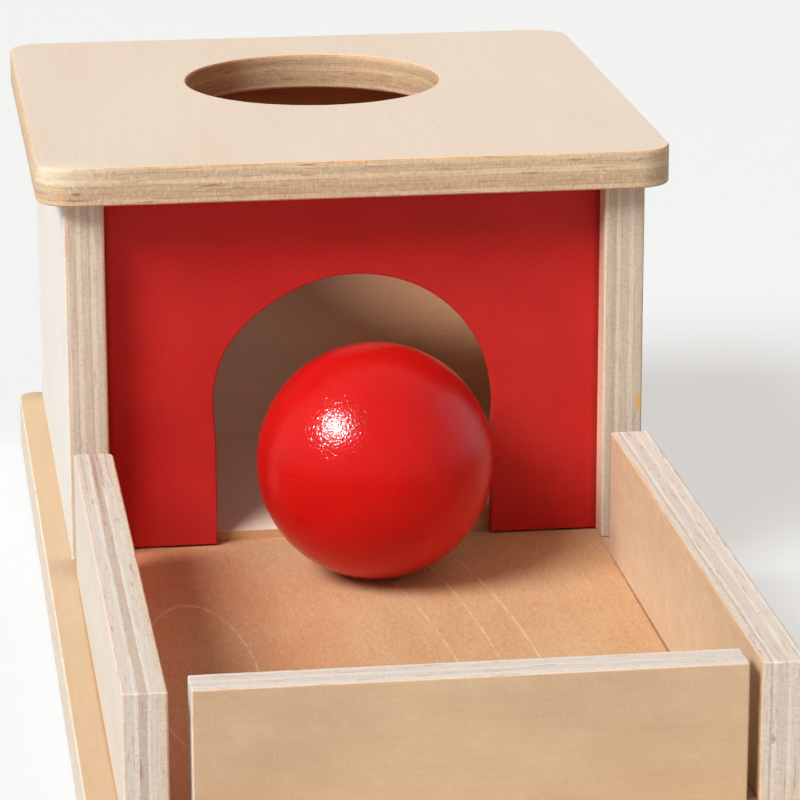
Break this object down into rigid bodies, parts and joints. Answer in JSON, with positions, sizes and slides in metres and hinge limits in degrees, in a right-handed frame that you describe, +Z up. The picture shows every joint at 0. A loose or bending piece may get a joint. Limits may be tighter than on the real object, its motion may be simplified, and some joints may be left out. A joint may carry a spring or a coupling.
{
  "type": "object permanence box",
  "caption": "Wooden baby toy: a ball dropped through a round hole rolls down a hidden ramp, out of an arched doorway and into a railed tray.",
  "frame": {"origin": "centre of the base board's underside", "axes": "+X to the right seen from the tray, +Y from the tray towards the box, +Z up"},
  "size_m": [0.135, 0.294, 0.0992],
  "materials": {
    "base_plywood": "sanded birch plywood",
    "pale_plywood": "sanded birch plywood",
    "rail_plywood": "sanded birch plywood",
    "ramp_sheet": "thin plywood",
    "batten_wood": "planed",
    "red_paint": "satin paint",
    "red_lacquer": "gloss lacquer",
    "screw_steel": "zinc plated",
    "dowel_wood": "beech"
  },
  "bodies": {
    "box": {"base_board": "base_plywood", "left_side_wall": "pale_plywood", "right_side_wall": "pale_plywood", "rear_wall": "pale_plywood", "top_board": "pale_plywood", "ramp": "ramp_sheet", "ramp_batten": "batten_wood", "left_rail": "rail_plywood", "right_rail": "rail_plywood", "front_rail": "rail_plywood", "front_panel": "red_paint", "side_screw_1": "screw_steel", "side_screw_2": "screw_steel", "side_screw_3": "screw_steel", "side_screw_4": "screw_steel", "side_screw_5": "screw_steel", "side_screw_6": "screw_steel", "rear_screw_1": "screw_steel", "rear_screw_2": "screw_steel", "rail_screw_1": "screw_steel", "rail_screw_2": "screw_steel", "rail_screw_3": "screw_steel", "rail_screw_4": "screw_steel", "rail_screw_5": "screw_steel", "rail_screw_6": "screw_steel", "rail_screw_7": "screw_steel", "rail_screw_8": "screw_steel", "top_dowel_1": "dowel_wood", "top_dowel_2": "dowel_wood", "top_dowel_3": "dowel_wood", "top_dowel_4": "dowel_wood", "top_dowel_5": "dowel_wood", "top_dowel_6": "dowel_wood", "top_dowel_7": "dowel_wood", "top_dowel_8": "dowel_wood", "rear_dowel_1": "dowel_wood", "rear_dowel_2": "dowel_wood", "rear_dowel_3": "dowel_wood", "rear_dowel_4": "dowel_wood", "batten_dowel_1": "dowel_wood", "batten_dowel_2": "dowel_wood"},
    "ball": {"ball": "red_lacquer"}
  },
  "joints": [
    {"name": "ball_roll", "type": "slide", "parent": "box", "child": "ball", "axis": [0, 1, 0], "range_m": [-0.1038, 0.0175]}
  ]
}
